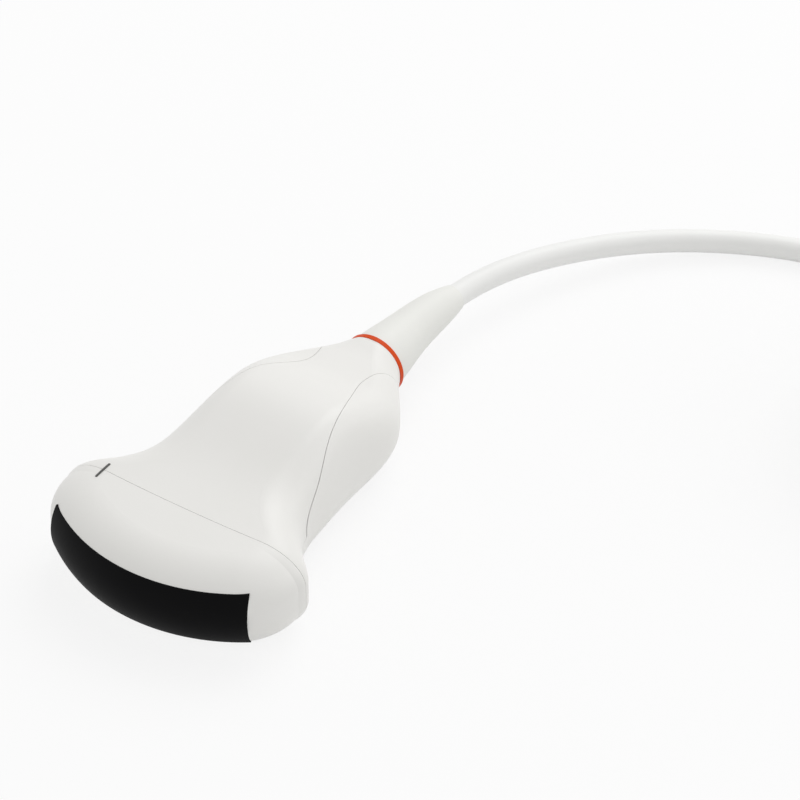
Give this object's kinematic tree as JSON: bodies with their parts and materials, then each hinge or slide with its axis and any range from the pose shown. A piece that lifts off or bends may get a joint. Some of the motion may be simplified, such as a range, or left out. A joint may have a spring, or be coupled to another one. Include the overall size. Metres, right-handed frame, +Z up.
{
  "type": "ultrasound transducer probe",
  "caption": "Curved-array ultrasound transducer probe with a black convex lens, wide nose, waisted handle, strain relief, coiled cable and a many-contact connector with a lock knob.",
  "frame": {"origin": "on the surface that the probe lies on, below the middle of the probe (lens crown to strain relief tip, without the cable and its connector)", "axes": "+X from the lens along the probe to its cable, +Y across its width towards the orientation mark, +Z up through its thickness"},
  "size_m": [0.2327, 0.2149, 0.0568],
  "materials": {
    "housing": "satin moulded ivory plastic",
    "lens": "smooth black silicone rubber",
    "mark": "dark moulded inlay",
    "ring": "orange-red plastic",
    "relief": "smooth ivory elastomer",
    "cable_jacket": "pale grey-white elastomer",
    "tie": "dark grey elastomer band",
    "seal": "black elastomer",
    "matching": "filled resin layer",
    "ceramic": "fired ceramic, diced",
    "backing": "filled resin",
    "carrier": "glass-filled plastic",
    "flex": "polyimide film",
    "board": "green circuit board",
    "steel": "plain steel",
    "shaft_steel": "turned steel",
    "brass": "brass",
    "chassis": "brushed aluminium",
    "socket": "black plastic",
    "core": "bundle of thin coaxial wires in tape",
    "clamp": "black plastic",
    "ferrule": "crimped brass",
    "plug_housing": "light grey moulded plastic",
    "contact_block": "black plastic",
    "knob": "dark grey plastic"
  },
  "bodies": {
    "root": {"nose_cap": "housing", "upper_cover": "housing", "lower_cover": "housing", "lens": "lens", "orientation_mark": "mark", "ident_ring": "ring", "strain_relief": "relief", "plug_relief": "relief", "cable": "cable_jacket", "cable_coil": "cable_jacket", "plug_lead": "cable_jacket", "coil_tie": "tie", "seam_seal": "seal", "gland_seal": "seal", "matching_layer_outer": "matching", "matching_layer_inner": "matching", "element_array": "ceramic", "backing_block": "backing", "array_carrier": "carrier", "flex_circuit_upper": "flex", "flex_circuit_lower": "flex", "board_upper": "board", "board_lower": "board", "plug_board": "board", "board_screws": "steel", "chassis_screws": "steel", "clamp_screws": "steel", "plug_screws": "steel", "relief_clip": "steel", "board_spacers": "brass", "plug_contacts": "brass", "chassis": "chassis", "plug_front_frame": "chassis", "coax_socket_upper": "socket", "coax_socket_lower": "socket", "coax_harness": "core", "cable_clamp_upper": "clamp", "cable_clamp_lower": "clamp", "crimp_ferrule": "ferrule", "plug_upper_shell": "plug_housing", "plug_lower_shell": "plug_housing", "contact_block": "contact_block"},
    "lock": {"lock_shaft": "shaft_steel", "lock_knob": "knob", "lock_clip": "steel"}
  },
  "joints": [
    {"name": "lock_turn", "type": "hinge", "parent": "root", "child": "lock", "pos_m": [0.129, -0.144, 0.0418], "axis": [0, 1, 0], "range_deg": [0, 90]}
  ]
}
